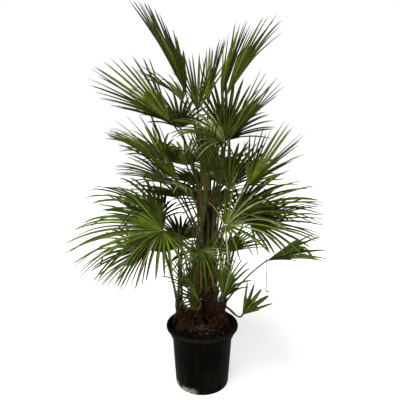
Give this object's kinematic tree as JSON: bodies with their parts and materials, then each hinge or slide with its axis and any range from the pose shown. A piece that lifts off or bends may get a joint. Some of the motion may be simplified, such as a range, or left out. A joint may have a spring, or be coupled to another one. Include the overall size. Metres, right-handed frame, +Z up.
{
  "type": "potted european fan palm",
  "caption": "Clump-forming fan palm with fibre-clad stems and stiff, deeply split fan leaves on long stalks, growing in a round, tapered plastic nursery pot.",
  "frame": {"origin": "middle of the pot's flat underside, on the surface that the pot stands on", "axes": "+Z up along the stems; +X to the right and +Y away from someone who faces the plant's front"},
  "size_m": [1.0722, 1.1552, 1.6392],
  "materials": {
    "pot": "satin black, dusty, worn",
    "soil": "damp, crumbly potting soil",
    "stem": "matted brown fibre",
    "frond": "waxy olive green"
  },
  "bodies": {
    "root": {"pot": "pot", "soil": "soil", "tall_stem": "stem", "front_stem": "stem", "left_stem": "stem", "right_stem": "stem", "stump_stem": "stem", "tall_frond_1": "frond", "tall_frond_2": "frond", "tall_frond_3": "frond", "tall_frond_4": "frond", "tall_frond_5": "frond", "tall_frond_6": "frond", "tall_frond_7": "frond", "tall_frond_8": "frond", "tall_frond_9": "frond", "tall_frond_10": "frond", "tall_frond_11": "frond", "tall_frond_12": "frond", "tall_frond_13": "frond", "tall_frond_14": "frond", "front_frond_1": "frond", "front_frond_2": "frond", "front_frond_3": "frond", "front_frond_4": "frond", "front_frond_5": "frond", "left_frond_1": "frond", "left_frond_2": "frond", "left_frond_3": "frond", "left_frond_4": "frond", "left_frond_5": "frond", "right_frond_1": "frond", "right_frond_2": "frond", "right_frond_3": "frond", "right_frond_4": "frond", "right_frond_5": "frond", "right_frond_6": "frond", "tall_back_frond_1": "frond", "tall_back_frond_11": "frond", "tall_back_frond_22": "frond", "tall_back_frond_27": "frond", "tall_back_frond_32": "frond", "tall_back_frond_40": "frond", "tall_back_frond_48": "frond", "tall_back_frond_53": "frond", "left_back_frond_1": "frond", "left_back_frond_19": "frond", "left_back_frond_27": "frond", "right_back_frond_3": "frond", "right_back_frond_32": "frond"}
  },
  "joints": []
}
